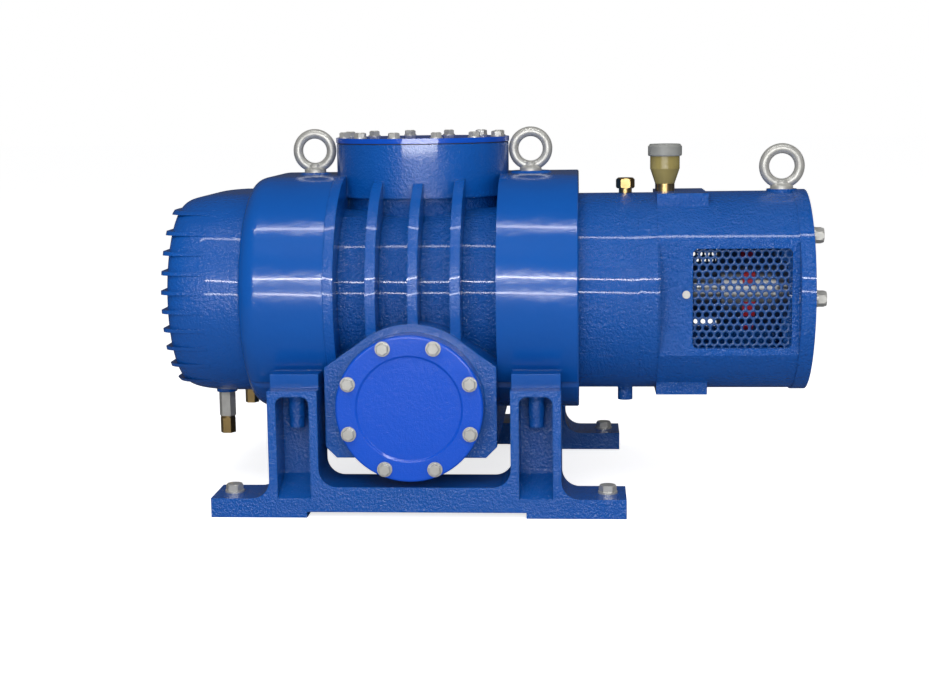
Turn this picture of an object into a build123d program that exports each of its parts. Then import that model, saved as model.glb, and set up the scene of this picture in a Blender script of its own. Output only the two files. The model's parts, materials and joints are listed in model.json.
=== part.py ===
from build123d import *
from math import acos, cos, hypot, pi, radians, sin, sqrt, tan
import os

# Roots vacuum pump on two cast foot rails: finned gear cover at -X, motor lantern at +X, inlet on top,
# one outlet on each long side.  Millimetres, +Z up, floor at Z = 0, shafts along X.

# ---------------------------------------------------------------- driving dimensions
AXIS_Z = 325.0                # height of both shafts
ROTOR_PITCH = 160.0           # distance between the shafts, side by side
ROTOR_GAP = 0.45              # taken off each rotor's outline for running
CHAMBER_GAP = 0.3             # chamber radius over the theoretical tip radius
END_GAP = 0.5                 # each end of a rotor to its side wall
SEAT_FIT = 0.02               # running fit of bearing rings and seals
SHEET_FIT = 0.2               # loose seat of a sheet or an oval plug in its wall

CASING_X0 = -252.5
CASING_L = 265.0
CASING_WALL_R = 135.0
CASING_RIBS = 4
RIB_PITCH = 65.0
RIB_T = 16.0

HOUSING_R = 188.0
GEAR_HOUSING_L = 135.5
GEAR_SHOULDER = 32.0
DRIVE_HOUSING_L = 125.5
SIDE_WALL_T = 47.5
CAVITY_R = 150.0

COVER_R = 161.0
COVER_FACE_R = 147.0
COVER_L = 117.0
COVER_WALL = 11.0
FIN_COUNT = 10
FIN_PITCH = 30.0
FIN_T = 6.0
FIN_H = 10.0

INLET_R = 142.5
INLET_BORE_R = 100.0
INLET_UNDER_Z = 478.0
INLET_FACE_Z = 563.5
INLET_PCD = 260.0
INLET_BOLTS = 12
PLATE_R = 143.5
PLATE_T = 8.0
GASKET_T = 1.5

OUTLET_X = -118.0
OUTLET_Z = 171.0
OUTLET_FACE_Y = 288.0
OUTLET_BORE_R = 76.5          # rear way, bored for the pipe
BLANKED_WAY_R = 75.0          # front way, left as cast behind its cover
OUTLET_WALL_Y = 200.0         # where the two round ways open into the channel
OUTLET_BOSS_R = 124.0
OUTLET_PCD = 200.0
OUTLET_BOLTS = 8
OUTLET_TAP_R = 4.25           # tapped holes round both ports, at the thread's root
OUTLET_TAP_DEPTH = 24.0
TAP_MOUTH_R = 5.3
TAP_MOUTH_DEPTH = 1.5
BLANK_R = 112.5
BLANK_T = 20.0
BLANK_DISH_R = 82.0
BLANK_DISH_DEPTH = 3.0
STUD_R = 5.0
STUD_REACH = 30.5
BLOCK_Z0 = 87.0
BLOCK_CORNER_Z = 228.0
BLOCK_CHAMFER = 17.0

SEAL_R = 157.0
SEAL_HOUSING_L = 93.0
SEAL_COVER_L = 29.0
LANTERN_R = 158.0
LANTERN_WALL = 12.0
LANTERN_L = 237.0
FACET_HALF = 88.0             # half height of the lantern's two flat flanks
LANTERN_FLANGE_R = 160.0
LANTERN_FLANGE_T = 22.0
MOTOR_SPIGOT_R = 115.0
MOTOR_PCD = 265.0
MOTOR_BOLT_R = 7.0
WINDOW_X0 = 313.0
WINDOW_X1 = 464.0
WINDOW_HALF = 77.0
GUARD_T = 1.5
GUARD_LAP = 16.0
GUARD_RISE = 83.0
GUARD_SCREW_R = 2.9

SHAFT_R = 25.0
HUB_SEAT_R = 24.0
MOTOR_BORE_R = 19.0
BEARING_R = 55.0
BEARING_INNER_R = 34.0
BEARING_W = 27.0
GEAR_TEETH = 32
GEAR_W = 40.0
GEAR_BACKLASH = 0.35
HUB_R = 65.0
HUB_BARREL_R = 45.0
SPIDER_X0 = 395.0
SPIDER_W = 20.0
PUMP_HUB_X0 = 300.0
MOTOR_HUB_X1 = 470.0
JAWS = 4

RAIL_X0 = -428.0
RAIL_X1 = 210.0
RAIL_Y0 = -300.0
RAIL_D = 92.0
FOOT_T = 30.0
RAIL_TOP_Z = 48.0
RELIEF_Z = 9.0
PEDESTAL_X = (-298.0, 73.0)
PEDESTAL_W = 77.0
PEDESTAL_Z = 197.0
POCKET_W = 51.0
POCKET_DEPTH = 66.0
POCKET_Z0 = 30.0
POCKET_Z1 = 188.0
SCREW_Y = -254.0
LUG_W = 75.0
LUG_Z1 = 219.0
LUG_Y = -275.0
FOOT_BOLT_INSET = 28.0

EYE_RING_R = 28.0
EYE_WIRE_R = 8.0
EYE_CENTRE = 36.0
EYE_X = (-301.0, 59.0, 461.0)

# ---------------------------------------------------------------- sizes that follow
DRIVE_Y = -ROTOR_PITCH / 2
IDLE_Y = ROTOR_PITCH / 2
PITCH_R = ROTOR_PITCH / 2
LOBE_R = 0.75 * ROTOR_PITCH
CHAMBER_R = LOBE_R + CHAMBER_GAP
CASING_X1 = CASING_X0 + CASING_L
CASING_MID_X = CASING_X0 + CASING_L / 2
GEAR_HOUSING_X0 = CASING_X0 - GEAR_HOUSING_L
DRIVE_HOUSING_X1 = CASING_X1 + DRIVE_HOUSING_L
COVER_X0 = GEAR_HOUSING_X0 - COVER_L
SEAL_SPLIT_X = DRIVE_HOUSING_X1 + SEAL_HOUSING_L
LANTERN_X0 = SEAL_SPLIT_X + SEAL_COVER_L
LANTERN_X1 = LANTERN_X0 + LANTERN_L
LANTERN_FLANGE_X0 = LANTERN_X1 - LANTERN_FLANGE_T
FACET_DEPTH = sqrt(LANTERN_R ** 2 - FACET_HALF ** 2)
GEAR_WALL_X = CASING_X0 - SIDE_WALL_T
DRIVE_WALL_X = CASING_X1 + SIDE_WALL_T
GEAR_BEARING_X = GEAR_WALL_X
DRIVE_BEARING_X = DRIVE_WALL_X - BEARING_W
GEAR_X1 = GEAR_WALL_X - 22
GEAR_X0 = GEAR_X1 - GEAR_W
SPIDER_X1 = SPIDER_X0 + SPIDER_W
PLATE_Z0 = INLET_FACE_Z + GASKET_T
PLATE_Z1 = PLATE_Z0 + PLATE_T
BLANK_Y = -OUTLET_FACE_Y - GASKET_T
BLANK_FRONT_Y = BLANK_Y - BLANK_T
RAIL_Y1 = RAIL_Y0 + RAIL_D

NODES = {}


# ---------------------------------------------------------------- shared shapes
def rod_x(x0, x1, radius, y=0.0, z=AXIS_Z):
    return Pos((x0 + x1) / 2, y, z) * Rot(0, 90, 0) * Cylinder(radius, x1 - x0)


def rod_y(y0, y1, radius, x, z):
    return Pos(x, (y0 + y1) / 2, z) * Rot(90, 0, 0) * Cylinder(radius, y1 - y0)


def rod_z(z0, z1, radius, x, y):
    return Pos(x, y, (z0 + z1) / 2) * Cylinder(radius, z1 - z0)


def ring_x(x0, x1, outer_r, inner_r, y):
    return rod_x(x0, x1, outer_r, y) - rod_x(x0 - 1, x1 + 1, inner_r, y)


def block(x0, x1, y0, y1, z0, z1):
    return Pos((x0 + x1) / 2, (y0 + y1) / 2, (z0 + z1) / 2) * Box(x1 - x0, y1 - y0, z1 - z0)


def oval_x(x0, x1, radius):
    """Prism along X whose section is a flat-sided oval round both shafts."""
    section = Plane.YZ.offset(x0) * Pos(0, AXIS_Z) * SlotOverall(ROTOR_PITCH + 2 * radius, 2 * radius)
    return extrude(section, x1 - x0)


def oval_turned(half):
    """Flat-sided oval body from a half profile drawn as (x, radius)."""
    face = Plane.XZ * half
    ends = revolve(face, Axis.X, 360)
    middle = extrude(face + mirror(face, Plane.XY), ROTOR_PITCH)
    solid = Pos(0, DRIVE_Y, AXIS_Z) * ends + Pos(0, IDLE_Y, AXIS_Z) * ends
    return solid + Pos(0, IDLE_Y, AXIS_Z) * middle


def turned_x(points, y):
    face = Plane.XZ * Polygon(*points, align=None)
    return Pos(0, y, AXIS_Z) * revolve(face, Axis.X, 360)


def turned_z(points, x, y):
    face = Plane.XZ * Polygon(*points, align=None)
    return Pos(x, y, 0) * revolve(face, Axis.Z, 360)


def hex_z(z0, z1, across_flats, x=0.0, y=0.0):
    return Pos(x, y, z0) * extrude(RegularPolygon(across_flats / 2, 6, major_radius=False), z1 - z0)


def on_circle(count, radius, first):
    """Points spaced evenly round a circle, the first at that angle in degrees."""
    angles = [radians(first + 360 * i / count) for i in range(count)]
    return [(radius * cos(a), radius * sin(a)) for a in angles]


def both_sides(solid):
    return solid + mirror(solid, Plane.XZ)


def hex_bolt(across, head_h, shank_r, grip, washer_r, washer_t):
    """Hexagon bolt with its washer, seated on Z = 0 and pointing down."""
    bolt = rod_z(0, washer_t, washer_r, 0, 0)
    head = hex_z(washer_t, washer_t + head_h, across)
    crown = Pos(0, 0, washer_t + head_h / 2) * Cone(across * 0.72, across * 0.5, head_h)
    bolt += head & crown
    return bolt + rod_z(-grip, 0, shank_r, 0, 0)


def keep(name, *shapes):
    solids = [solid for shape in shapes for solid in shape.solids()]
    NODES[name] = solids[0] if len(solids) == 1 else Compound(solids)


# ---------------------------------------------------------------- rotor casing
def outlet_block_face():
    """Front outline of the outlet block: chamfered below, shouldered up to the round boss."""
    left = CASING_X0
    right = CASING_X1
    lean = OUTLET_BOSS_R * sin(radians(60))
    half = OUTLET_BOSS_R * cos(radians(60))
    return Polygon(
        (left + BLOCK_CHAMFER, BLOCK_Z0),
        (right - BLOCK_CHAMFER, BLOCK_Z0),
        (right, BLOCK_Z0 + BLOCK_CHAMFER),
        (right, BLOCK_CORNER_Z),
        (OUTLET_X + half, OUTLET_Z + lean),
        (OUTLET_X - half, OUTLET_Z + lean),
        (left, BLOCK_CORNER_Z),
        (left, BLOCK_Z0 + BLOCK_CHAMFER),
        align=None,
    )


def casing_outside():
    solid = oval_x(CASING_X0, CASING_X1, CASING_WALL_R)
    for i in range(CASING_RIBS):
        x0 = CASING_X0 + RIB_PITCH * i
        solid += oval_x(x0, x0 + RIB_T, HOUSING_R)
    solid += rod_z(AXIS_Z, INLET_UNDER_Z + 1, INLET_R - 10, CASING_MID_X, 0)
    solid += rod_z(INLET_UNDER_Z, INLET_FACE_Z, INLET_R, CASING_MID_X, 0)
    half_depth = OUTLET_FACE_Y - 22
    solid += Pos(0, half_depth, 0) * extrude(Plane.XZ * outlet_block_face(), 2 * half_depth)
    boss = rod_y(-half_depth, half_depth, OUTLET_BOSS_R, OUTLET_X, OUTLET_Z)
    solid += boss & block(CASING_X0, CASING_X1, -half_depth, half_depth, BLOCK_Z0, AXIS_Z)
    solid += rod_y(-OUTLET_FACE_Y, -half_depth + 30, BLANK_R, OUTLET_X, OUTLET_Z)
    solid += rod_y(half_depth - 30, OUTLET_FACE_Y, BLANK_R, OUTLET_X, OUTLET_Z)
    return solid


def casing_ways():
    """Rotor chamber, inlet way from above and the outlet way to both sides."""
    ways = oval_x(CASING_X0, CASING_X1, CHAMBER_R)
    ways += rod_z(AXIS_Z, INLET_FACE_Z, INLET_BORE_R, CASING_MID_X, 0)
    side = OUTLET_BORE_R
    floor = BLOCK_Z0 + 13
    roof = AXIS_Z - CHAMBER_R - 15
    wall = OUTLET_WALL_Y
    ways += block(OUTLET_X - side, OUTLET_X + side, -wall, wall, floor, roof)
    ways += block(OUTLET_X - side, OUTLET_X + side, -55, 55, floor, AXIS_Z)
    ways += rod_y(-OUTLET_FACE_Y, -wall, BLANKED_WAY_R, OUTLET_X, OUTLET_Z)
    ways += rod_y(wall, OUTLET_FACE_Y, OUTLET_BORE_R, OUTLET_X, OUTLET_Z)
    return ways


def rotor_casing():
    solid = casing_outside() - casing_ways()
    for a, b in on_circle(INLET_BOLTS, INLET_PCD / 2, 180 / INLET_BOLTS):
        solid -= rod_z(INLET_FACE_Z - 22, INLET_FACE_Z, 5, CASING_MID_X + a, b)
    for a, b in on_circle(OUTLET_BOLTS, OUTLET_PCD / 2, 180 / OUTLET_BOLTS):
        for y0 in (-OUTLET_FACE_Y, OUTLET_FACE_Y - OUTLET_TAP_DEPTH):
            solid -= rod_y(y0, y0 + OUTLET_TAP_DEPTH, OUTLET_TAP_R, OUTLET_X + a, OUTLET_Z + b)
        for y0 in (-OUTLET_FACE_Y, OUTLET_FACE_Y - TAP_MOUTH_DEPTH):
            solid -= rod_y(y0, y0 + TAP_MOUTH_DEPTH, TAP_MOUTH_R, OUTLET_X + a, OUTLET_Z + b)
    keep("rotor_casing", solid)


# ---------------------------------------------------------------- end housings
def housing_lugs(x):
    """Lugs that stand on the pedestals, front and rear."""
    lug = block(x - LUG_W / 2, x + LUG_W / 2, LUG_Y, -150, PEDESTAL_Z, LUG_Z1)
    lug -= rod_z(PEDESTAL_Z, LUG_Z1 - 5, 8, x, SCREW_Y)
    return both_sides(lug)


def seat_and_clear(solid):
    """Cuts the drum flat over the pedestals and hollows it where the inlet neck passes."""
    solid -= rod_z(INLET_UNDER_Z - 1, INLET_FACE_Z, INLET_R + 1, CASING_MID_X, 0)
    clear = block(GEAR_HOUSING_X0, DRIVE_HOUSING_X1, -HOUSING_R - ROTOR_PITCH, RAIL_Y1 + 0.5, 0, PEDESTAL_Z)
    return solid - both_sides(clear)


def gear_end_housing():
    x0 = GEAR_HOUSING_X0
    x1 = CASING_X0
    half = make_face(
        Polyline((x0, 0), (x0, COVER_R))
        + Bezier((x0, COVER_R), (x0 + 2, HOUSING_R - 9), (x0 + 13, HOUSING_R), (x0 + GEAR_SHOULDER, HOUSING_R))
        + Polyline((x0 + GEAR_SHOULDER, HOUSING_R), (x1, HOUSING_R), (x1, 0), (x0, 0))
    )
    solid = oval_turned(half) + housing_lugs(PEDESTAL_X[0])
    solid = seat_and_clear(solid) - oval_x(x0, GEAR_WALL_X, CAVITY_R)
    for y in (DRIVE_Y, IDLE_Y):
        solid -= rod_x(GEAR_BEARING_X, GEAR_BEARING_X + BEARING_W, BEARING_R + SEAT_FIT, y)
        solid -= rod_x(GEAR_BEARING_X, x1, SHAFT_R + 7, y)
    top = AXIS_Z + HOUSING_R
    solid += turned_z([(0, top - 20), (28, top - 20), (28, top), (23, top + 3), (0, top + 3)], EYE_X[0], 0)
    solid -= rod_z(top - 24, top + 4, 10, EYE_X[0], 0)
    keep("gear_end_housing", solid)


def drive_end_housing():
    x0 = CASING_X1
    x1 = DRIVE_HOUSING_X1
    solid = oval_x(x0, x1, HOUSING_R)
    rim = solid.faces().sort_by(Axis.X)[-1].edges()
    solid = chamfer(rim, 2.0) + housing_lugs(PEDESTAL_X[1])
    solid = seat_and_clear(solid) - oval_x(DRIVE_WALL_X, x1 - 20, CAVITY_R)
    solid -= rod_x(x1 - 30, x1, 100, DRIVE_Y)
    for y in (DRIVE_Y, IDLE_Y):
        solid -= rod_x(DRIVE_BEARING_X, DRIVE_WALL_X, BEARING_R + SEAT_FIT, y)
        solid -= rod_x(x0, DRIVE_WALL_X, SHAFT_R + 7, y)
    top = AXIS_Z + HOUSING_R
    solid += turned_z([(0, top - 20), (36, top - 20), (36, top), (32, top + 3), (0, top + 3)], EYE_X[1], 0)
    solid -= rod_z(top - 18, top + 4, 10, EYE_X[1], 0)
    keep("drive_end_housing", solid)


# ---------------------------------------------------------------- gear cover and its fittings
DRAIN_X, DRAIN_Y, DRAIN_R = -450.0, -60.0, 17.0
LEVEL_X, LEVEL_Y, LEVEL_R = -415.0, -25.0, 15.0
DRAIN_FACE_Z = AXIS_Z - COVER_R - 8
LEVEL_FACE_Z = AXIS_Z - COVER_R - 7


def cover_half(x0, x1, radius, face_r):
    return make_face(
        Polyline((x0, 0), (x0, face_r - 9))
        + Bezier((x0, face_r - 9), (x0 + 3, face_r + 5), (x0 + 20, radius - 2), (x0 + 70, radius))
        + Polyline((x0 + 70, radius), (x1, radius), (x1, 0), (x0, 0))
    )


def gear_cover():
    x0 = COVER_X0
    x1 = GEAR_HOUSING_X0
    outside = oval_turned(cover_half(x0, x1, COVER_R, COVER_FACE_R))
    crest = oval_turned(cover_half(x0 - FIN_H, x1 - FIN_H, COVER_R, COVER_FACE_R))
    solid = outside
    for i in range(FIN_COUNT):
        z = AXIS_Z + FIN_PITCH * (i - (FIN_COUNT - 1) / 2)
        slab = block(x0 - FIN_H, x0 + 60, -400, 400, z - FIN_T / 2, z + FIN_T / 2)
        solid += crest & slab
    solid += rod_z(DRAIN_FACE_Z, AXIS_Z - COVER_R + 25, DRAIN_R, DRAIN_X, DRAIN_Y)
    solid += rod_z(LEVEL_FACE_Z, AXIS_Z - COVER_R + 25, LEVEL_R, LEVEL_X, LEVEL_Y)
    w = COVER_WALL
    solid -= oval_turned(cover_half(x0 + w, x1, COVER_R - w, COVER_FACE_R - w))
    solid -= rod_z(DRAIN_FACE_Z, AXIS_Z - COVER_R + 30, 8, DRAIN_X, DRAIN_Y)
    solid -= rod_z(LEVEL_FACE_Z, AXIS_Z - COVER_R + 30, 8, LEVEL_X, LEVEL_Y)
    keep("gear_cover", solid)


def gear_cover_fittings():
    z = DRAIN_FACE_Z
    sleeve = hex_z(z - 41, z, 24, DRAIN_X, DRAIN_Y) + rod_z(z, z + 18, 8, DRAIN_X, DRAIN_Y)
    keep("drain_sleeve", sleeve)
    plug = rod_z(z - 45, z - 41, 12, DRAIN_X, DRAIN_Y) + hex_z(z - 70, z - 45, 22, DRAIN_X, DRAIN_Y)
    keep("drain_plug", plug)
    z = LEVEL_FACE_Z
    keep("level_washer", rod_z(z - 2, z, 13, LEVEL_X, LEVEL_Y) - rod_z(z - 3, z + 1, 8, LEVEL_X, LEVEL_Y))
    level = hex_z(z - 26, z - 2, 20, LEVEL_X, LEVEL_Y) + rod_z(z - 2, z + 16, 8, LEVEL_X, LEVEL_Y)
    keep("level_plug", level)


# ---------------------------------------------------------------- seal housing and lantern
VENT_X = 213.0
CUP_X = 276.0
LANTERN_PAD_X1 = 340.0
LANTERN_PAD_HALF = 75.0
LANTERN_TOP_Z = AXIS_Z + LANTERN_R + 1
GUARD_SCREW = (WINDOW_X0 - 10, AXIS_Z + 7)


def seal_housing():
    x0 = DRIVE_HOUSING_X1
    x1 = SEAL_SPLIT_X
    solid = rod_x(x0, x1, SEAL_R, DRIVE_Y)
    solid -= rod_x(x0, x1 - 16, 110, DRIVE_Y) + rod_x(x1 - 16, x1, 60, DRIVE_Y)
    for z0 in (AXIS_Z + SEAL_R - 50, AXIS_Z - SEAL_R - 1):
        solid -= rod_z(z0, z0 + 51, 8, VENT_X, DRIVE_Y)
    keep("seal_housing", solid)
    cover = rod_x(x1, LANTERN_X0, SEAL_R, DRIVE_Y) - rod_x(x1, LANTERN_X0, SHAFT_R + 5, DRIVE_Y)
    keep("seal_cover", cover - rod_x(LANTERN_X0 - 14, LANTERN_X0, 42.5, DRIVE_Y))
    keep("shaft_seal", ring_x(LANTERN_X0 - 14, LANTERN_X0 - 2, 42.5 - SEAT_FIT, SHAFT_R + 3 * SEAT_FIT, DRIVE_Y))


def seal_housing_plugs():
    z = AXIS_Z + SEAL_R
    vent = rod_z(z - 18, z, 8, VENT_X, DRIVE_Y) + rod_z(z, z + 8, 10.5, VENT_X, DRIVE_Y)
    half = [(0, z + 7), (13, z + 7), (15, z + 9), (15, z + 21), (12, z + 24), (0, z + 24)]
    crown = turned_z(half, VENT_X, DRIVE_Y)
    keep("vent_plug", vent + (crown & hex_z(z + 7, z + 24, 26, VENT_X, DRIVE_Y)))
    z = AXIS_Z - SEAL_R
    keep("housing_drain_plug", rod_z(z - 22, z, 12, VENT_X, DRIVE_Y) + rod_z(z, z + 16, 8, VENT_X, DRIVE_Y))


def motor_lantern():
    """Hollow round body with a flat flank and window on each side, and pads above and below at the pump end."""
    x0 = LANTERN_X0
    x1 = LANTERN_X1
    y = DRIVE_Y
    half = LANTERN_PAD_HALF
    solid = rod_x(x0, x1, LANTERN_R, y)
    cavity = rod_x(x0 + 30, LANTERN_FLANGE_X0, LANTERN_R - LANTERN_WALL, y)
    deep = FACET_DEPTH - LANTERN_WALL
    cavity = cavity & block(x0, x1, y - deep, y + deep, 0, 2 * AXIS_Z)
    between_flats = block(x0, x1, y - FACET_DEPTH, y + FACET_DEPTH, 0, 2 * AXIS_Z)
    solid = (solid & between_flats) + rod_x(x0, x0 + 2, LANTERN_R, y)
    solid += rod_x(LANTERN_FLANGE_X0, x1, LANTERN_FLANGE_R, y)
    solid += block(x0, LANTERN_PAD_X1, y - half, y + half, AXIS_Z + 80, LANTERN_TOP_Z)
    solid += block(x0, LANTERN_PAD_X1, y - half, y + half, 2 * AXIS_Z - LANTERN_TOP_Z, AXIS_Z - 80)
    solid += rod_z(AXIS_Z - LANTERN_R - 6, AXIS_Z - LANTERN_R + 30, 15, CUP_X, y)
    solid += rod_z(AXIS_Z + LANTERN_R - 20, LANTERN_TOP_Z + 2, 24, EYE_X[2], y)
    solid -= cavity
    solid -= rod_x(x0, x0 + 30, 70, y) + rod_x(LANTERN_FLANGE_X0, x1, MOTOR_SPIGOT_R, y)
    z0 = AXIS_Z - WINDOW_HALF
    z1 = AXIS_Z + WINDOW_HALF
    window = block(WINDOW_X0, WINDOW_X1, y - 2 * LANTERN_R, y + 2 * LANTERN_R, z0, z1)
    solid -= fillet(window.edges().filter_by(Axis.Y), 8)
    for a, b in on_circle(8, MOTOR_PCD / 2, 0):
        solid -= rod_x(LANTERN_FLANGE_X0, x1, MOTOR_BOLT_R + 0.5, y + a, AXIS_Z + b)
    solid -= rod_z(LANTERN_TOP_Z - 24, LANTERN_TOP_Z, 8, CUP_X, y)
    solid -= rod_z(LANTERN_TOP_Z - 22, LANTERN_TOP_Z + 2, 10, EYE_X[2], y)
    for side in (-1, 1):
        reach = y + side * FACET_DEPTH
        solid -= rod_y(reach - 30, reach + 30, GUARD_SCREW_R + 0.1, *GUARD_SCREW)
    keep("motor_lantern", solid)


def coupling_guards():
    """Flat sheets inside the two lantern windows, each held by one screw beside the window."""
    near = FACET_DEPTH - LANTERN_WALL - SHEET_FIT
    x0 = WINDOW_X0 - GUARD_LAP
    x1 = LANTERN_FLANGE_X0 - SHEET_FIT
    screws = []
    for name, side in (("front", -1), ("rear", 1)):
        faces = sorted((DRIVE_Y + side * near, DRIVE_Y + side * (near - GUARD_T)))
        sheet = block(x0, x1, faces[0], faces[1], AXIS_Z - GUARD_RISE, AXIS_Z + GUARD_RISE)
        keep("coupling_guard_" + name, sheet - rod_y(faces[0], faces[1], GUARD_SCREW_R + 0.1, *GUARD_SCREW))
        flank = DRIVE_Y + side * FACET_DEPTH
        inner = flank - side * 16
        outer = flank + side * 4
        shank = rod_y(min(inner, flank), max(inner, flank), GUARD_SCREW_R, *GUARD_SCREW)
        screws.append(shank + rod_y(min(flank, outer), max(flank, outer), 6, *GUARD_SCREW))
    keep("guard_screws", *screws)


def motor_flange_bolts():
    bolts = []
    for angle in (135, 180, 0, 45):
        a, b = on_circle(1, MOTOR_PCD / 2, angle)[0]
        bolt = hex_bolt(22, 13, MOTOR_BOLT_R, LANTERN_FLANGE_T, 13, 5)
        bolts.append(Pos(LANTERN_X1, DRIVE_Y + a, AXIS_Z + b) * Rot(0, 90, 0) * bolt)
    keep("motor_flange_bolts", *bolts)


# ---------------------------------------------------------------- port covers
def inlet_cover():
    x = CASING_MID_X
    plate = rod_z(PLATE_Z0, PLATE_Z1, PLATE_R, x, 0)
    gasket = rod_z(INLET_FACE_Z, PLATE_Z0, INLET_R - 1, x, 0) - rod_z(INLET_FACE_Z, PLATE_Z0, INLET_BORE_R, x, 0)
    bolts = []
    for a, b in on_circle(INLET_BOLTS, INLET_PCD / 2, 180 / INLET_BOLTS):
        plate -= rod_z(PLATE_Z0, PLATE_Z1, 5.5, x + a, b)
        gasket -= rod_z(INLET_FACE_Z, PLATE_Z0, 5.5, x + a, b)
        bolt = hex_bolt(17, 7, 4.9, PLATE_T + GASKET_T + 16, 10.5, 2)
        bolts.append(Pos(x + a, b, PLATE_Z1) * bolt)
    keep("inlet_blank_plate", plate)
    keep("inlet_gasket", gasket)
    keep("inlet_bolts", *bolts)


def outlet_cover():
    cover = rod_y(BLANK_FRONT_Y, BLANK_Y, BLANK_R, OUTLET_X, OUTLET_Z)
    rim = cover.edges().filter_by(GeomType.CIRCLE).sort_by(Axis.Y)[0]
    cover = fillet(rim, 4)
    dish = Cone(BLANK_DISH_R, BLANK_DISH_R - 3, BLANK_DISH_DEPTH, align=(Align.CENTER, Align.CENTER, Align.MIN))
    cover -= Pos(OUTLET_X, BLANK_FRONT_Y, OUTLET_Z) * Rot(-90, 0, 0) * dish
    gasket = rod_y(BLANK_Y, -OUTLET_FACE_Y, BLANK_R - 1, OUTLET_X, OUTLET_Z)
    gasket -= rod_y(BLANK_Y, -OUTLET_FACE_Y, BLANKED_WAY_R + 2, OUTLET_X, OUTLET_Z)
    bolts = []
    for a, b in on_circle(OUTLET_BOLTS, OUTLET_PCD / 2, 180 / OUTLET_BOLTS):
        x = OUTLET_X + a
        z = OUTLET_Z + b
        cover -= rod_y(BLANK_FRONT_Y, BLANK_Y, 5.5, x, z)
        gasket -= rod_y(BLANK_Y, -OUTLET_FACE_Y, 5.5, x, z)
        bolt = hex_bolt(17, 7, OUTLET_TAP_R - 0.05, BLANK_T + GASKET_T + 18, 11.5, 2)
        bolts.append(Pos(x, BLANK_FRONT_Y, z) * Rot(90, 0, 0) * bolt)
    keep("outlet_cover", cover)
    keep("outlet_gasket", gasket)
    keep("outlet_cover_bolts", *bolts)
    studs = []
    for a, b in on_circle(OUTLET_BOLTS, OUTLET_PCD / 2, 180 / OUTLET_BOLTS):
        x = OUTLET_X + a
        z = OUTLET_Z + b
        screwed = rod_y(OUTLET_FACE_Y - OUTLET_TAP_DEPTH + 2, OUTLET_FACE_Y, OUTLET_TAP_R - 0.05, x, z)
        studs.append(screwed + rod_y(OUTLET_FACE_Y, OUTLET_FACE_Y + STUD_REACH, STUD_R - 0.1, x, z))
    keep("outlet_studs", *studs)


# ---------------------------------------------------------------- foot rails
def concave(x, out, z, radius):
    """Fillet between an upright face at x and a flat at z."""
    corner = block(min(x, x + out * radius), max(x, x + out * radius), RAIL_Y0, RAIL_Y1, z - 1, z + radius)
    return corner - rod_y(RAIL_Y0, RAIL_Y1, radius, x + out * radius, z + radius)


def rail_pocket(x):
    """Pocket open to the front, its floor falling outwards and its upper corners rounded."""
    half = POCKET_W / 2
    y1 = RAIL_Y0 + POCKET_DEPTH
    pocket = block(x - half, x + half, RAIL_Y0, y1, POCKET_Z0, POCKET_Z1)
    pocket = fillet(pocket.edges().filter_by(Axis.Y).group_by(Axis.Z)[-1], 12)
    ramp = Plane.YZ.offset(x - half) * Polygon((RAIL_Y0, POCKET_Z0), (y1, POCKET_Z0), (y1, POCKET_Z0 + 26), align=None)
    return pocket - extrude(ramp, POCKET_W)


def foot_rail():
    solid = block(RAIL_X0, RAIL_X1, RAIL_Y0, RAIL_Y1, 0, FOOT_T)
    solid += block(PEDESTAL_X[0], PEDESTAL_X[1], RAIL_Y0, RAIL_Y1, FOOT_T - 1, RAIL_TOP_Z)
    for x, out in zip(PEDESTAL_X, (-1, 1)):
        half = PEDESTAL_W / 2
        solid += block(x - half, x + half, RAIL_Y0, RAIL_Y1, FOOT_T - 1, PEDESTAL_Z)
        solid += concave(x + out * half, out, FOOT_T, 28)
        solid += concave(x - out * half, -out, RAIL_TOP_Z, 28)
    for x in PEDESTAL_X:
        solid -= rail_pocket(x)
        solid += rod_z(150, POCKET_Z1 + 1, 13, x, SCREW_Y)
        solid -= rod_z(149, PEDESTAL_Z, 8.5, x, SCREW_Y)
    relief = block(PEDESTAL_X[0] + 19, PEDESTAL_X[1] - 15, RAIL_Y0, RAIL_Y1, 0, RELIEF_Z)
    solid -= relief
    for x in (RAIL_X0 + FOOT_BOLT_INSET, RAIL_X1 - FOOT_BOLT_INSET):
        solid -= rod_z(0, FOOT_T, 9, x, RAIL_Y0 + RAIL_D / 2)
    return solid


def foot_rails():
    rail = foot_rail()
    keep("foot_rail_front", rail)
    keep("foot_rail_rear", mirror(rail, Plane.XZ))
    screws = []
    bolts = []
    for side in (-1, 1):
        for x in PEDESTAL_X:
            screw = rod_z(134, 150, 12, x, -side * SCREW_Y) + rod_z(149, LUG_Z1 - 7, 7.9, x, -side * SCREW_Y)
            screws.append(screw - hex_z(134, 142, 14, x, -side * SCREW_Y))
        for x in (RAIL_X0 + FOOT_BOLT_INSET, RAIL_X1 - FOOT_BOLT_INSET):
            bolt = hex_bolt(24, 10, 8, FOOT_T - 1, 15, 3)
            bolts.append(Pos(x, side * (RAIL_Y0 + RAIL_D / 2), FOOT_T) * bolt)
    keep("pedestal_screws", *screws)
    keep("foot_bolts", *bolts)


# ---------------------------------------------------------------- eyebolts and oil cup
def eyebolt(name, x, y, z):
    collar = turned_z([(0, z), (18, z), (18, z + 4), (12, z + 9), (10, z + 14), (0, z + 14)], x, y)
    ring = Pos(x, y, z + EYE_CENTRE) * Rot(90, 0, 0) * Torus(EYE_RING_R, EYE_WIRE_R)
    keep(name, ring + collar + rod_z(z - 17, z, 9.9, x, y))


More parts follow.
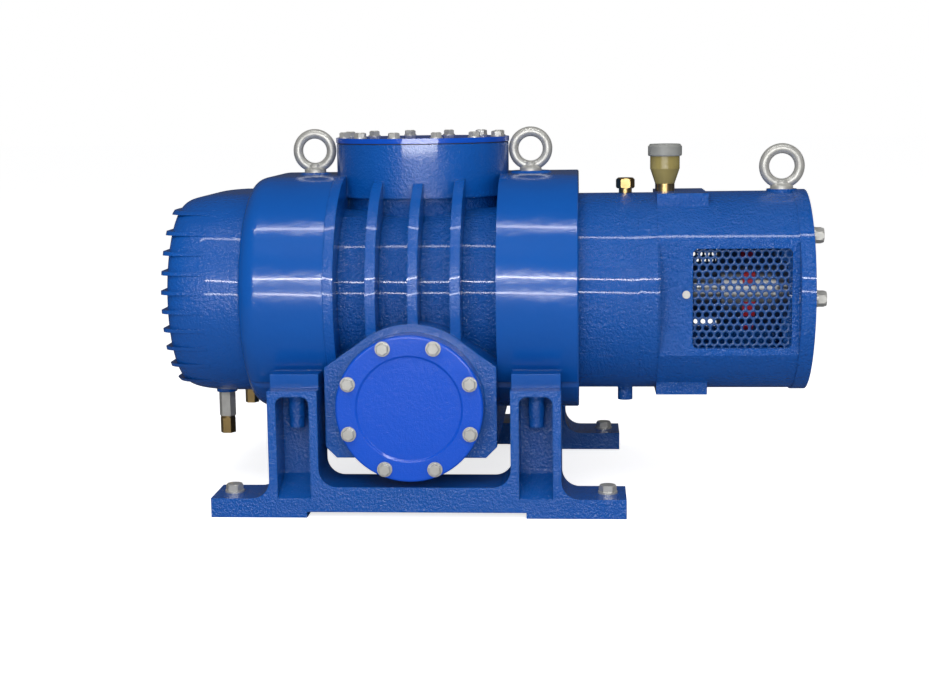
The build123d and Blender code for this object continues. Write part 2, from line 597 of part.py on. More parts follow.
def oil_cup():
    z = LANTERN_TOP_Z
    base = rod_z(z - 16, z, 8, CUP_X, DRIVE_Y) + rod_z(z, z + 12, 15.5, CUP_X, DRIVE_Y)
    keep("oiler_base", base)
    z += 12
    outside = [(0, z), (15.5, z), (23.5, z + 24), (23.5, z + 44), (0, z + 44)]
    inside = [(0, z + 5), (13, z + 5), (21, z + 25), (21, z + 44), (0, z + 44)]
    bowl = turned_z(outside, CUP_X, DRIVE_Y) - turned_z(inside, CUP_X, DRIVE_Y)
    keep("oiler_bowl", bowl)
    z += 44
    cap = turned_z([(0, z), (26, z), (27, z + 2), (27, z + 15), (24, z + 19), (0, z + 19)], CUP_X, DRIVE_Y)
    keep("oiler_cap", cap)


# ---------------------------------------------------------------- rotors and timing gears
def rotor_face():
    """Two-lobe outline: epicycloid tips and hypocycloid waists on one rolling circle, less the running gap."""
    roll = PITCH_R / 4
    steps = 10

    def at(t, sign):
        arm = PITCH_R + sign * roll
        return arm * cos(t) - sign * roll * cos(arm / roll * t), arm * sin(t) - roll * sin(arm / roll * t)

    def quarter(first, sign):
        points = []
        for i in range(steps + 1):
            t = i / steps * pi / 2
            x0, y0 = at(max(t - 1e-4, 0), sign)
            x1, y1 = at(min(t + 1e-4, pi / 2), sign)
            size = hypot(x1 - x0, y1 - y0)
            x, y = at(t, sign)
            x -= (y1 - y0) / size * ROTOR_GAP
            y += (x1 - x0) / size * ROTOR_GAP
            points.append((x * cos(first) - y * sin(first), x * sin(first) + y * cos(first)))
        return points

    spans = [quarter(n * pi / 2 - pi / 4, 1 if n % 2 == 0 else -1) for n in range(4)]
    corners = []
    for n in range(4):
        before = spans[n - 1][-1]
        after = spans[n][0]
        corners.append(((before[0] + after[0]) / 2, (before[1] + after[1]) / 2))
    edges = [Spline(corners[n], *spans[n][1:-1], corners[(n + 1) % 4]) for n in range(4)]
    return make_face(edges)


def gear_face(phase):
    """Involute spur gear, its teeth thinned for backlash."""
    module = 2 * PITCH_R / GEAR_TEETH
    base_r = PITCH_R * cos(radians(20))
    tip_r = PITCH_R + 0.95 * module
    root_r = PITCH_R - 1.2 * module
    half_tooth = pi / (2 * GEAR_TEETH) - GEAR_BACKLASH / (2 * PITCH_R)

    def involute(radius):
        a = acos(min(1.0, base_r / radius))
        return tan(a) - a

    points = []
    for n in range(GEAR_TEETH):
        mid = phase + 2 * pi * n / GEAR_TEETH
        foot = half_tooth + involute(PITCH_R)
        points.append((root_r * cos(mid - foot), root_r * sin(mid - foot)))
        for side in (-1, 1):
            radii = [base_r + (tip_r - base_r) * i / 3 for i in range(4)]
            for radius in radii if side < 0 else reversed(radii):
                angle = mid + side * (half_tooth + involute(PITCH_R) - involute(radius))
                points.append((radius * cos(angle), radius * sin(angle)))
        points.append((root_r * cos(mid + foot), root_r * sin(mid + foot)))
    return Polygon(*points, align=None)


def rotating_set(name, y, turn, shaft_end, phase):
    """Rotor with its shaft, timing gear, lock nut and bearing inner rings."""
    x0 = CASING_X0 + END_GAP
    x1 = CASING_X1 - END_GAP
    outline = Plane.YZ.offset(x0) * Pos(y, AXIS_Z) * Rot(0, 0, turn) * rotor_face()
    rotor = extrude(outline, x1 - x0)
    rotor += rod_x(GEAR_X0 - 24, x0 + 1, SHAFT_R, y)
    rotor += rod_x(x1 - 1, shaft_end, SHAFT_R, y)
    rotor += rod_x(GEAR_X1, GEAR_WALL_X, SHAFT_R + 6, y)
    if name == "drive":
        rotor += rod_x(shaft_end - 1, SPIDER_X0 - 25, HUB_SEAT_R, y)
    keep(name + "_rotor", rotor)
    teeth = Plane.YZ.offset(GEAR_X0) * Pos(y, AXIS_Z) * gear_face(phase)
    gear = extrude(teeth, GEAR_W) - rod_x(GEAR_X0, GEAR_X1, SHAFT_R, y)
    for a, b in on_circle(6, 52, 0):
        gear -= rod_x(GEAR_X0, GEAR_X1, 11, y + a, AXIS_Z + b)
    keep(name + "_timing_gear", gear)
    nut = ring_x(GEAR_X0 - 18, GEAR_X0, 36, SHAFT_R, y)
    keep(name + "_gear_nut", nut)
    inner = []
    for x in (GEAR_BEARING_X, DRIVE_BEARING_X):
        inner.append(ring_x(x, x + BEARING_W, BEARING_INNER_R, SHAFT_R, y))
    keep(name + "_bearing_inner_rings", *inner)


def bearing_outer_rings():
    rings = []
    for y in (DRIVE_Y, IDLE_Y):
        for x in (GEAR_BEARING_X, DRIVE_BEARING_X):
            rings.append(ring_x(x, x + BEARING_W, BEARING_R, BEARING_INNER_R + 3 * SEAT_FIT, y))
    keep("bearing_outer_rings", *rings)


def oil_slinger():
    x1 = GEAR_X0 - 18
    disc = rod_x(x1 - 5, x1, 112, IDLE_Y) - rod_x(x1 - 5, x1, SHAFT_R, IDLE_Y)
    keep("oil_slinger", disc)


# ---------------------------------------------------------------- coupling
def sector_x(x0, x1, r0, r1, middle, spread):
    """Part of a ring round the drive shaft, centred on an angle in degrees."""
    far = 2 * r1
    a0 = radians(middle - spread / 2)
    a1 = radians(middle + spread / 2)
    wedge = Polygon((0, 0), (far * cos(a0), far * sin(a0)), (far * cos(a1), far * sin(a1)), align=None)
    wedge = extrude(Plane.YZ.offset(x0) * Pos(DRIVE_Y, AXIS_Z) * wedge, x1 - x0)
    return wedge & ring_x(x0, x1, r1, r0, DRIVE_Y)


def coupling():
    pump = rod_x(PUMP_HUB_X0, 363, HUB_BARREL_R, DRIVE_Y) + rod_x(362, SPIDER_X0, HUB_R, DRIVE_Y)
    motor = rod_x(447, MOTOR_HUB_X1, HUB_BARREL_R, DRIVE_Y) + rod_x(SPIDER_X1, 448, HUB_R, DRIVE_Y)
    pads = ring_x(SPIDER_X0, SPIDER_X1, 36, 24, DRIVE_Y)
    pitch = 180 / JAWS
    for i in range(JAWS):
        angle = 2 * pitch * i
        pump += sector_x(SPIDER_X0 - 1, SPIDER_X1 - 1, 37, HUB_R, angle, pitch / 2)
        motor += sector_x(SPIDER_X0 + 1, SPIDER_X1 + 1, 37, HUB_R, angle + pitch, pitch / 2)
    for i in range(2 * JAWS):
        pads += sector_x(SPIDER_X0, SPIDER_X1, 35, HUB_R + 1, pitch * (i + 0.5), pitch / 2)
    keep("coupling_pump_hub", pump - rod_x(PUMP_HUB_X0, SPIDER_X1, HUB_SEAT_R, DRIVE_Y))
    keep("coupling_motor_hub", motor - rod_x(SPIDER_X0, MOTOR_HUB_X1, MOTOR_BORE_R, DRIVE_Y))
    keep("coupling_spider", pads)


# ---------------------------------------------------------------- whole pump
rotor_casing()
gear_end_housing()
drive_end_housing()
gear_cover()
gear_cover_fittings()
seal_housing()
seal_housing_plugs()
motor_lantern()
coupling_guards()
motor_flange_bolts()
inlet_cover()
outlet_cover()
foot_rails()
eyebolt("eyebolt_gear_end", EYE_X[0], 0, AXIS_Z + HOUSING_R + 3)
eyebolt("eyebolt_drive_end", EYE_X[1], 0, AXIS_Z + HOUSING_R + 3)
eyebolt("eyebolt_lantern", EYE_X[2], DRIVE_Y, LANTERN_TOP_Z + 2)
oil_cup()
rotating_set("drive", DRIVE_Y, 0, LANTERN_X0 + 15, 0)
rotating_set("idle", IDLE_Y, 90, DRIVE_WALL_X + 12, pi / GEAR_TEETH)
bearing_outer_rings()
oil_slinger()
coupling()

os.makedirs("parts", exist_ok=True)
for node, shape in NODES.items():
    export_step(shape, f"parts/{node}.step")
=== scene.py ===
import json
import math

import bmesh
import bpy
from mathutils import Matrix, Vector

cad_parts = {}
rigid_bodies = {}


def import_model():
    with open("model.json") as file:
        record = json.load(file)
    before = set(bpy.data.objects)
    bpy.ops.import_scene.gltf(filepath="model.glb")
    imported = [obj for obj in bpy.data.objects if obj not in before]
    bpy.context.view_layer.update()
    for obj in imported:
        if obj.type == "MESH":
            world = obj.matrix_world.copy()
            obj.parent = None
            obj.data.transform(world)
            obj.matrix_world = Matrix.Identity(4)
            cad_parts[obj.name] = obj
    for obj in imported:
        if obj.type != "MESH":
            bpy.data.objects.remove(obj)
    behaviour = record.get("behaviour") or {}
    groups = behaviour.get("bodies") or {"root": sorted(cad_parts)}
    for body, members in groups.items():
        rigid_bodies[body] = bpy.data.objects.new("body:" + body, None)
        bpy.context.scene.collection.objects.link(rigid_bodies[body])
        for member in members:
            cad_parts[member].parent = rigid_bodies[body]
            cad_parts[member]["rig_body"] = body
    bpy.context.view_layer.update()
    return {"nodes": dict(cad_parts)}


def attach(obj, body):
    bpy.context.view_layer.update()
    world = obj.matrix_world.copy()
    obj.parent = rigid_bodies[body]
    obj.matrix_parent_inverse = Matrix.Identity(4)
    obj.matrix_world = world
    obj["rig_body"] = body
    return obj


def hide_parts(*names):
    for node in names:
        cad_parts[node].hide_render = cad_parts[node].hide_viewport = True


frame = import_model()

nodes = frame["nodes"]

# Camera: at standing height in front of the pump, a little right of its middle,
# looking slightly down along the outlet side.
camera = bpy.data.objects.new("camera", bpy.data.cameras.new("camera"))
bpy.context.scene.collection.objects.link(camera)
camera.data.sensor_width = 36.0
camera.data.lens = 63.55
camera.data.clip_end = 60.0
look = Matrix.Rotation(math.radians(4.18), 4, "Z")
look = look @ Matrix.Rotation(math.radians(90 - 8.17), 4, "X")
look = look @ Matrix.Rotation(math.radians(-0.76), 4, "Z")
camera.matrix_world = Matrix.Translation((0.1448, -2.7313, 0.6276)) @ look
bpy.context.scene.camera = camera

# Studio: white floor that runs into a white surround, a broad lamp above the front that only lights,
# two long thin strips that also draw the streaks on the drums, and a weak fill from the right.
scene = bpy.context.scene
scene.view_settings.view_transform = "Standard"


class Wire:
    """A node socket that arithmetic can be written with."""

    def __init__(self, tree, socket=None):
        self.tree = tree
        self.socket = socket

    def node(self, kind, settings, sockets, out=0):
        """Adds a node: its settings first, then the values or links of its sockets."""
        made = self.tree.nodes.new(kind)
        for name, value in settings.items():
            if name == "stops":
                ramp = made.color_ramp
                while len(ramp.elements) < len(value):
                    ramp.elements.new(0.5)
                for element, (place, colour) in zip(ramp.elements, value):
                    element.position = place
                    element.color = colour
            else:
                setattr(made, name, value)
        for name, value in sockets.items():
            if isinstance(value, Wire):
                self.tree.links.new(value.socket, made.inputs[name])
            else:
                made.inputs[name].default_value = value
        return Wire(self.tree, made.outputs[out])

    def sum_of(self, kind, first, second):
        return self.node("ShaderNodeMath", {"operation": kind}, {0: first, 1: second})

    def part(self, vector, axis):
        return self.node("ShaderNodeSeparateXYZ", {}, {0: vector}, axis)

    def __add__(self, other):
        return self.sum_of("ADD", self, other)

    def __radd__(self, other):
        return self.sum_of("ADD", other, self)

    def __sub__(self, other):
        return self.sum_of("SUBTRACT", self, other)

    def __rsub__(self, other):
        return self.sum_of("SUBTRACT", other, self)

    def __mul__(self, other):
        return self.sum_of("MULTIPLY", self, other)

    def __rmul__(self, other):
        return self.sum_of("MULTIPLY", other, self)


def new_material(name):
    """An empty material, its Principled shader and a wire to add nodes with."""
    material = bpy.data.materials.new(name)
    material.use_nodes = True
    shader = material.node_tree.nodes["Principled BSDF"]
    return material, shader, Wire(material.node_tree)


def plug(wire, shader, name):
    wire.tree.links.new(wire.socket, shader.inputs[name])


def colour_mix(wire, factor, first, second):
    return wire.node("ShaderNodeMix", {"data_type": "RGBA"}, {0: factor, 6: first, 7: second}, 2)


floor_mesh = bpy.data.meshes.new("floor")
floor_mesh.from_pydata([(-15, -8, 0), (15, -8, 0), (15, 25, 0), (-15, 25, 0)], [], [(0, 1, 2, 3)])
floor = bpy.data.objects.new("floor", floor_mesh)
scene.collection.objects.link(floor)
floor_white, floor_shader, w = new_material("floor_white")
floor_shader.inputs["Roughness"].default_value = 0.9
floor_shader.inputs["Specular IOR Level"].default_value = 0.0
floor_shader.inputs["Emission Color"].default_value = (1, 1, 1, 1)
seen = w.node("ShaderNodeLightPath", {}, {}, "Is Camera Ray")
mirrored = w.node("ShaderNodeLightPath", {}, {}, "Is Glossy Ray")
plug(colour_mix(w, mirrored, (0.82, 0.82, 0.83, 1), (0.10, 0.10, 0.10, 1)), floor_shader, "Base Color")
plug(seen * 0.75, floor_shader, "Emission Strength")
floor_mesh.materials.append(floor_white)

world = bpy.data.worlds.new("studio")
scene.world = world
world.use_nodes = True
surround = world.node_tree.nodes["Background"]
w = Wire(world.node_tree)
path = w.node("ShaderNodeLightPath", {}, {}, "Is Camera Ray")
gloss = w.node("ShaderNodeLightPath", {}, {}, "Is Glossy Ray")
clear = w.node("ShaderNodeLightPath", {}, {}, "Is Transmission Ray")
surround.inputs["Color"].default_value = (1, 1, 1, 1)
strength = 0.30 + path * 0.70 - gloss * 0.24 + clear * 0.50
world.node_tree.links.new(strength.socket, surround.inputs["Strength"])


def lamp(name, size, power, place, aim, mirrored):
    """Rectangular soft lamp at a place, pointing at another, seen in glossy surfaces or not."""
    data = bpy.data.lights.new(name, "AREA")
    data.shape = "RECTANGLE"
    data.size, data.size_y = size
    data.energy = power
    turn = (Vector(aim) - Vector(place)).to_track_quat("-Z", "Y").to_matrix().to_4x4()
    made = bpy.data.objects.new(name, data)
    made.matrix_world = Matrix.Translation(place) @ turn
    made.visible_glossy = mirrored
    scene.collection.objects.link(made)


lamp("key", (1.6, 0.9), 28, (-0.5, -2.0, 2.4), (0, 0, 0.3), False)
lamp("upper_strip", (2.6, 0.06), 30, (0.0, -3.0, 1.28), (0, 0, 0.36), True)
lamp("lower_strip", (2.6, 0.07), 20, (0.0, -3.0, 0.50), (0, 0, 0.34), True)
lamp("top_strip", (2.6, 0.10), 16, (0.0, -1.0, 2.6), (0, 0, 0.5), True)
lamp("fill", (1.2, 1.2), 15, (2.4, -1.6, 1.6), (0.1, 0, 0.3), False)

# Foot rails: two grey-iron castings, front and rear, that carry the pump on pocketed pedestals.
# Sprayed blue over the rough sand-cast skin, so the gloss breaks up over small lumps.
RAIL_EDGE = 0.0030            # rounding of the cast edges
SHAFT_Y = 0.08                # each shaft's distance from the middle
SHAFT_Z = 0.325
BLUE = (0.0030, 0.0780, 0.3450, 1)
BLUE_DEEP = (0.0022, 0.0580, 0.2700, 1)


def cast_paint(name, colours, lump, peel, sag, roughness, edge, hollow=None):
    """Glossy paint over a cast skin; lump, peel and sag are bump depths in metres.

    With hollow, the lumps stand only inside that distance from the line of the shafts."""
    material, shader, w = new_material(name)
    place = w.node("ShaderNodeTexCoord", {}, {}, "Object")
    cloud = w.node("ShaderNodeTexNoise", {}, {"Vector": place, "Scale": 9.0, "Detail": 4.0})
    run = w.node("ShaderNodeTexNoise", {}, {"Vector": place, "Scale": 24.0, "Detail": 2.0})
    grit = w.node("ShaderNodeTexNoise", {}, {"Vector": place, "Scale": 230.0, "Detail": 2.0, "Roughness": 0.6})
    skin = w.node("ShaderNodeTexNoise", {}, {"Vector": place, "Scale": 600.0, "Detail": 1.0})
    light, dark = colours
    plug(colour_mix(w, cloud * 0.7 + grit * 0.2, light, dark), shader, "Base Color")
    plug(roughness + cloud * 0.08 + skin * 0.05, shader, "Roughness")
    height = grit
    if hollow is not None:
        beside = w.sum_of("MAXIMUM", w.sum_of("ABSOLUTE", w.part(place, 1), 0.0) - SHAFT_Y, 0.0)
        above = w.part(place, 2) - SHAFT_Z
        reach = w.sum_of("SQRT", beside * beside + above * above, 0.0)
        span = {0: reach, 1: hollow, 2: hollow + 0.012, 3: 1.0, 4: 0.25}
        inside = w.node("ShaderNodeMapRange", {}, span)
        height = grit * inside
    round_edge = w.node("ShaderNodeBevel", {"samples": 4}, {"Radius": edge})
    wavy = w.node("ShaderNodeBump", {}, {"Strength": 1.0, "Distance": sag, "Height": run, "Normal": round_edge})
    rough = w.node("ShaderNodeBump", {}, {"Strength": 1.0, "Distance": lump, "Height": height, "Normal": wavy})
    fine = w.node("ShaderNodeBump", {}, {"Strength": 1.0, "Distance": peel, "Height": skin, "Normal": rough})
    plug(fine, shader, "Normal")
    shader.inputs["Coat Weight"].default_value = 0.35
    shader.inputs["Coat Roughness"].default_value = 0.06
    return material


def solid_copy(node, name, material, angle=32):
    """Merged and smoothly shaded copy of a CAD node's mesh, which then stands for that node."""
    source = nodes[node]
    mesh = source.data.copy()
    mesh.name = name
    work = bmesh.new()
    work.from_mesh(mesh)
    bmesh.ops.remove_doubles(work, verts=work.verts, dist=2e-5)
    work.to_mesh(mesh)
    work.free()
    mesh.materials.clear()
    mesh.materials.append(material)
    if "custom_normal" in mesh.attributes:
        mesh.attributes.remove(mesh.attributes["custom_normal"])
    mesh.polygons.foreach_set("use_smooth", [True] * len(mesh.polygons))
    mesh.set_sharp_from_angle(angle=math.radians(angle))
    made = bpy.data.objects.new(name, mesh)
    scene.collection.objects.link(made)
    even = made.modifiers.new("even_normals", "WEIGHTED_NORMAL")
    even.keep_sharp = True
    even.weight = 100
    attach(made, source["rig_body"])
    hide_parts(node)
    return made


def finish_node(node, material):
    """Gives a CAD node its finish in its own material slots."""
    for held in nodes[node].material_slots:
        held.material = material


rail_paint = cast_paint("rail_paint", (BLUE, BLUE_DEEP), 0.0024, 0.0003, 0.0012, 0.16, RAIL_EDGE)
solid_copy("foot_rail_front", "rail_front", rail_paint)
solid_copy("foot_rail_rear", "rail_rear", rail_paint)

# Rotor casing: one ribbed casting with the inlet neck on top and the outlet block below.
# The same rough skin as the rails, a little smoother on the neck where it was machined.
RECESS_R = 0.150              # between the casing's bare wall and its ribs
casing_paint = cast_paint("casing_paint", (BLUE, BLUE_DEEP), 0.0048, 0.0003, 0.0015, 0.14, 0.0035, RECESS_R)
solid_copy("rotor_casing", "casing", casing_paint)

# End housings: the two drum-shaped castings beside the casing, turned smooth before painting.
# Their paint shows only a fine peel and slow runs, with long clean reflections.
drum_paint = cast_paint("drum_paint", (BLUE, BLUE_DEEP), 0.00010, 0.00008, 0.0014, 0.12, 0.0020)
solid_copy("gear_end_housing", "gear_drum", drum_paint)
solid_copy("drive_end_housing", "drive_drum", drum_paint)

# Gear cover: a pressure-cast cap with level cooling fins over its end, in the same blue.
cover_paint = cast_paint("cover_paint", (BLUE, BLUE_DEEP), 0.0015, 0.0002, 0.0010, 0.17, 0.0015)
solid_copy("gear_cover", "finned_cover", cover_paint)

# Seal housing, its cover ring and the motor lantern: bolted in line on the drive side.
# The lantern's open windows let the coupling be reached.
lantern_paint = cast_paint("lantern_paint", (BLUE, BLUE_DEEP), 0.0042, 0.0003, 0.0012, 0.15, 0.0020)
for node in ("seal_housing", "seal_cover", "motor_lantern"):
    solid_copy(node, node + "_cast", lantern_paint)
finish_node("housing_drain_plug", lantern_paint)

# Covers on the ports: a thin round plate over the inlet, and a thicker blank over the front outlet
# whose dished face is a brighter blue.  Black gaskets lie under both.
PLATE_BLUE = ((0.0016, 0.0650, 0.4300, 1), (0.0012, 0.0520, 0.3700, 1))
BLANK_BLUE = ((0.0010, 0.0690, 0.5000, 1), (0.0008, 0.0560, 0.4300, 1))
plate_paint = cast_paint("plate_paint", PLATE_BLUE, 0.0003, 0.0002, 0.0006, 0.15, 0.001)
blank_paint = cast_paint("blank_paint", BLANK_BLUE, 0.0003, 0.0002, 0.0006, 0.18, 0.002)
solid_copy("inlet_blank_plate", "inlet_plate", plate_paint)
solid_copy("outlet_cover", "outlet_blank", blank_paint)


def mottled(name, scale, detail, colours, roughness, spread, metallic=0.0):
    """Plain finish whose colour and gloss drift with one slow noise."""
    material, shader, w = new_material(name)
    place = w.node("ShaderNodeTexCoord", {}, {}, "Object")
    drift = w.node("ShaderNodeTexNoise", {}, {"Vector": place, "Scale": scale, "Detail": detail})
    plug(colour_mix(w, drift, *colours), shader, "Base Color")
    plug(roughness + drift * spread, shader, "Roughness")
    shader.inputs["Metallic"].default_value = metallic
    return material


RUBBER_BLACK = ((0.02, 0.02, 0.02, 1), (0.05, 0.05, 0.05, 1))
gasket_rubber = mottled("gasket_rubber", 300.0, 2.0, RUBBER_BLACK, 0.55, 0.2)
for node in ("inlet_gasket", "outlet_gasket", "shaft_seal"):
    finish_node(node, gasket_rubber)

# Screws and bolts: zinc-plated hexagon heads on plain washers, a ring of twelve on the inlet plate
# and a ring of eight on the outlet blank.  No two heads stop at the same turn.
zinc, shader, w = new_material("zinc_plate")
place = w.node("ShaderNodeTexCoord", {}, {}, "Object")
bloom = w.node("ShaderNodeTexNoise", {}, {"Vector": place, "Scale": 90.0, "Detail": 4.0})
scratch = w.node("ShaderNodeTexNoise", {}, {"Vector": place, "Scale": 900.0, "Detail": 2.0})
plug(colour_mix(w, bloom, (0.62, 0.62, 0.59, 1), (0.40, 0.39, 0.36, 1)), shader, "Base Color")
plug(0.24 + bloom * 0.2 + scratch * 0.08, shader, "Roughness")
shader.inputs["Metallic"].default_value = 0.55
plug(w.node("ShaderNodeBump", {}, {"Strength": 0.5, "Distance": 0.0002, "Height": scratch}), shader, "Normal")
BOLT_SIZES = {
    "Across Flats": 0.017,
    "Head Height": 0.007,
    "Chamfer": 0.0012,
    "Washer Radius": 0.0105,
    "Washer Thickness": 0.002,
    "Circle Radius": 0.130,
    "Shank Radius": 0.0049,
    "Grip": 0.0255,
    "Centre X": -0.120,
    "Centre Y": 0.0,
    "Centre Z": 0.573,
    "Tilt": 0.0,
}


def named_tree(name, sizes, counts):
    """Geometry tree with one input for each size and count; returns it and a reader of those inputs."""
    tree = bpy.data.node_groups.new(name, "GeometryNodeTree")
    for label, value in counts.items():
        tree.interface.new_socket(label, in_out="INPUT", socket_type="NodeSocketInt").default_value = value
    for label, value in sizes.items():
        tree.interface.new_socket(label, in_out="INPUT", socket_type="NodeSocketFloat").default_value = value
    tree.interface.new_socket("Geometry", in_out="OUTPUT", socket_type="NodeSocketGeometry")
    given = tree.nodes.new("NodeGroupInput")
    return tree, lambda label: Wire(tree, given.outputs[label])


def close_tree(tree, geometry, material):
    dressed = geometry.node("GeometryNodeSetMaterial", {}, {"Geometry": geometry, "Material": material})
    end = tree.nodes.new("NodeGroupOutput")
    tree.links.new(dressed.socket, end.inputs["Geometry"])


def plain_mesh(tree, name, values):
    """Runs a geometry tree with its own input values and keeps the result as a plain mesh."""
    holder = bpy.data.objects.new(name + "_layout", bpy.data.meshes.new(name + "_layout"))
    scene.collection.objects.link(holder)
    layout = holder.modifiers.new("layout", "NODES")
    layout.node_group = tree
    for item in tree.interface.items_tree:
        if item.in_out == "INPUT" and item.name in values:
            layout[item.identifier] = values[item.name]
    bpy.context.view_layer.update()
    shown = holder.evaluated_get(bpy.context.evaluated_depsgraph_get())
    mesh = bpy.data.meshes.new_from_object(shown)
    mesh.name = name
    bpy.data.objects.remove(holder)
    return mesh


def bolt_ring_tree(material):
    """Ring of hexagon bolts with washers, standing on its own plane and then tilted into place."""
    tree, size = named_tree("bolt_ring", BOLT_SIZES, {"Count": 12})
    w = Wire(tree)

    def vector(x, y, z):
        return w.node("ShaderNodeCombineXYZ", {}, {0: x, 1: y, 2: z})

    def raised(mesh, height):
        return w.node("GeometryNodeTransform", {}, {"Geometry": mesh, "Translation": vector(0.0, 0.0, height)})

    washer_t = size("Washer Thickness")
    corner = size("Across Flats") * (1 / math.sqrt(3))
    body = size("Head Height") - size("Chamfer")
    head = w.node("GeometryNodeMeshCylinder", {}, {"Vertices": 6, "Radius": corner, "Depth": body})
    top = w.node("GeometryNodeMeshCone", {}, {"Vertices": 6, "Radius Top": size("Across Flats") * 0.5,
                                             "Radius Bottom": corner, "Depth": size("Chamfer")})
    mark = w.node("GeometryNodeMeshCylinder", {}, {"Vertices": 24, "Radius": size("Across Flats") * 0.38,
                                                  "Depth": size("Chamfer") * 0.4})
    washer = w.node("GeometryNodeMeshCylinder", {}, {"Vertices": 32, "Radius": size("Washer Radius"),
                                                    "Depth": washer_t})
    shank = w.node("GeometryNodeMeshCylinder", {}, {"Vertices": 16, "Radius": size("Shank Radius"),
                                                   "Depth": size("Grip")})
    bolt = tree.nodes.new("GeometryNodeJoinGeometry")
    pieces = (
        raised(head, washer_t + body * 0.5),
        raised(top, washer_t + body),
        raised(mark, washer_t + size("Head Height") + size("Chamfer") * 0.2),
        raised(washer, washer_t * 0.5),
        raised(shank, size("Grip") * -0.5),
    )
    for piece in pieces:
        tree.links.new(piece.socket, bolt.inputs["Geometry"])
    ring = w.node("GeometryNodeMeshCircle", {}, {"Vertices": size("Count"), "Radius": size("Circle Radius")})
    half_step = w.sum_of("DIVIDE", math.pi, size("Count"))
    ring = w.node("GeometryNodeTransform", {}, {"Geometry": ring, "Rotation": vector(0.0, 0.0, half_step)})
    sixth_turn = {"Min": 0.0, "Max": math.pi / 3, "Seed": 5}
    turn = w.node("FunctionNodeRandomValue", {"data_type": "FLOAT"}, sixth_turn, 1)
    laid = w.node("GeometryNodeInstanceOnPoints", {}, {"Points": ring, "Instance": Wire(tree, bolt.outputs[0]),
                                                      "Rotation": vector(0.0, 0.0, turn)})
    laid = w.node("GeometryNodeRealizeInstances", {}, {"Geometry": laid})
    centre = vector(size("Centre X"), size("Centre Y"), size("Centre Z"))
    laid = w.node("GeometryNodeTransform", {}, {"Geometry": laid, "Translation": centre,
                                               "Rotation": vector(size("Tilt"), 0.0, 0.0)})
    close_tree(tree, laid, material)
    return tree


def body_piece(name, mesh, node):
    """Stands a plain mesh in for a CAD node of the pump's own body."""
    made = bpy.data.objects.new(name, mesh)
    scene.collection.objects.link(made)
    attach(made, "pump")
    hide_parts(node)
    return made


bolt_tree = bolt_ring_tree(zinc)
body_piece("inlet_ring_of_bolts", plain_mesh(bolt_tree, "inlet_ring", {}), "inlet_bolts")
outlet_ring = {
    "Count": 8,
    "Circle Radius": 0.100,
    "Washer Radius": 0.0115,
    "Shank Radius": 0.0042,
    "Grip": 0.0395,
    "Centre X": -0.118,
    "Centre Y": -0.3095,
    "Centre Z": 0.171,
    "Tilt": math.pi / 2,
}
outlet_mesh = plain_mesh(bolt_tree, "outlet_ring", outlet_ring)
body_piece("outlet_ring_of_bolts", outlet_mesh, "outlet_cover_bolts")
for node in ("foot_bolts", "motor_flange_bolts", "guard_screws", "outlet_studs", "drain_sleeve"):
    finish_node(node, zinc)
finish_node("pedestal_screws", rail_paint)
for node in ("eyebolt_gear_end", "eyebolt_drive_end", "eyebolt_lantern"):
    solid_copy(node, node + "_forged", zinc, 60)

# Brass and plastic fittings: drain and level plugs, breather, and the oil cup with its grey cap.
BRASS = ((0.78, 0.56, 0.24, 1), (0.48, 0.32, 0.13, 1))
OLIVE = ((0.30, 0.25, 0.09, 1), (0.20, 0.16, 0.05, 1))
CAP_GREY = ((0.26, 0.27, 0.26, 1), (0.17, 0.17, 0.16, 1))
brass = mottled("turned_brass", 70.0, 4.0, BRASS, 0.2, 0.25, metallic=1.0)
for node in ("drain_plug", "level_plug", "vent_plug", "oiler_base", "level_washer"):
    finish_node(node, brass)
finish_node("oiler_bowl", mottled("oil_cup_bowl", 40.0, 3.0, OLIVE, 0.15, 0.15))
finish_node("oiler_cap", mottled("oil_cup_cap", 60.0, 3.0, CAP_GREY, 0.35, 0.2))

# Coupling and running gear: machined steel and iron, with a red elastomer spider between the hubs.
STEEL_GREY = ((0.52, 0.52, 0.53, 1), (0.38, 0.37, 0.36, 1))
SPIDER_RED = ((0.65, 0.03, 0.05, 1), (0.45, 0.02, 0.03, 1))
steel = mottled("machined_steel", 50.0, 4.0, STEEL_GREY, 0.28, 0.2, metallic=1.0)
for shaft in ("drive", "idle"):
    for piece in ("rotor", "timing_gear", "gear_nut", "bearing_inner_rings"):
        finish_node(shaft + "_" + piece, steel)
for node in ("bearing_outer_rings", "oil_slinger", "coupling_pump_hub", "coupling_motor_hub"):
    finish_node(node, steel)
finish_node("coupling_spider", mottled("red_elastomer", 80.0, 3.0, SPIDER_RED, 0.4, 0.2))

# Coupling guards: flat sheets of round-hole perforated steel, painted, behind the lantern's windows.
# Each sheet is hexagonal cells with a hole each, laid in staggered rows and then thickened.
GUARD_SIZES = {
    "Hole Radius": 0.0042,
    "Pitch": 0.0120,
    "Depth": 0.1176,
    "Side": -1.0,
    "Centre X": 0.386,
    "Centre Y": -SHAFT_Y,
    "Centre Z": SHAFT_Z,
}
GUARD_WALL = 0.0013


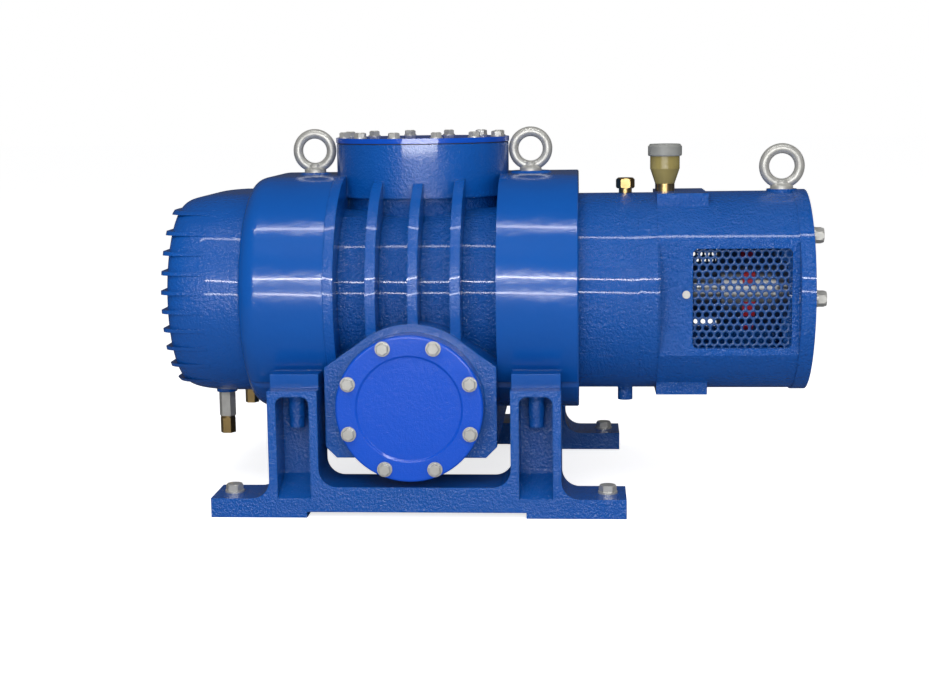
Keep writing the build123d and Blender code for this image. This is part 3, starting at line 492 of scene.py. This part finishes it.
def perforated_tree(material):
    """Sheet of holed hexagonal cells, upright beside the drive shaft."""
    tree, size = named_tree("perforated_sheet", GUARD_SIZES, {"Columns": 14, "Rows": 16})
    w = Wire(tree)

    def vector(x, y, z):
        return w.node("ShaderNodeCombineXYZ", {}, {0: x, 1: y, 2: z})

    hole = w.node("GeometryNodeMeshCircle", {"fill_type": "NONE"}, {"Vertices": 12, "Radius": size("Hole Radius")})
    grown = tree.nodes.new("GeometryNodeExtrudeMesh")
    grown.mode = "EDGES"
    tree.links.new(hole.socket, grown.inputs["Mesh"])
    grown.inputs["Offset Scale"].default_value = 0.0
    place = w.node("GeometryNodeInputPosition", {}, {})
    angle = w.sum_of("ARCTAN2", w.part(place, 1), w.part(place, 0))
    sixth = w.sum_of("PINGPONG", angle + 2 * math.pi, math.pi / 6)
    reach = w.sum_of("DIVIDE", size("Pitch") * 0.5, w.sum_of("COSINE", sixth, 0.0))
    rim = vector(w.sum_of("COSINE", angle, 0.0) * reach, w.sum_of("SINE", angle, 0.0) * reach, 0.0)
    cell = w.node("GeometryNodeSetPosition", {}, {"Geometry": Wire(tree, grown.outputs["Mesh"]),
                  "Selection": Wire(tree, grown.outputs["Top"]), "Position": rim})
    step_y = size("Pitch") * (math.sqrt(3) / 2)
    across = size("Pitch") * (size("Columns") - 1)
    up = step_y * (size("Rows") - 1)
    grid = w.node("GeometryNodeMeshGrid", {}, {"Size X": across, "Size Y": up, "Vertices X": size("Columns"),
                  "Vertices Y": size("Rows")})
    row = w.sum_of("ROUND", w.sum_of("DIVIDE", w.part(place, 1) + up * 0.5, step_y), 0.0)
    odd = w.sum_of("MODULO", row, 2.0)
    shift = vector((odd - 0.5) * size("Pitch") * 0.5, 0.0, 0.0)
    staggered = w.node("GeometryNodeSetPosition", {}, {"Geometry": grid, "Offset": shift})
    laid = w.node("GeometryNodeInstanceOnPoints", {}, {"Points": staggered, "Instance": cell})
    sheet = w.node("GeometryNodeRealizeInstances", {}, {"Geometry": laid})
    sheet = w.node("GeometryNodeMergeByDistance", {}, {"Geometry": sheet, "Distance": 0.0002})
    upright = vector(
        size("Centre X") + w.part(place, 0),
        size("Centre Y") + size("Side") * size("Depth"),
        size("Centre Z") + w.part(place, 1),
    )
    sheet = w.node("GeometryNodeSetPosition", {}, {"Geometry": sheet, "Position": upright})
    close_tree(tree, sheet, material)
    return tree


GUARD_BLUE = ((0.004, 0.060, 0.23, 1), (0.003, 0.040, 0.16, 1))
guard_paint = cast_paint("guard_paint", GUARD_BLUE, 0.0001, 0.0001, 0.0001, 0.3, 0.0004)
sheet_tree = perforated_tree(guard_paint)
for node, side in (("coupling_guard_front", -1.0), ("coupling_guard_rear", 1.0)):
    mesh = plain_mesh(sheet_tree, node + "_holes", {"Side": side})
    work = bmesh.new()
    work.from_mesh(mesh)
    work.normal_update()
    if sum(face.normal.y for face in work.faces) * side < 0:
        bmesh.ops.reverse_faces(work, faces=work.faces)
    work.to_mesh(mesh)
    work.free()
    guard = body_piece(node + "_sheet", mesh, node)
    wall = guard.modifiers.new("wall", "SOLIDIFY")
    wall.thickness = GUARD_WALL
    wall.offset = 1.0
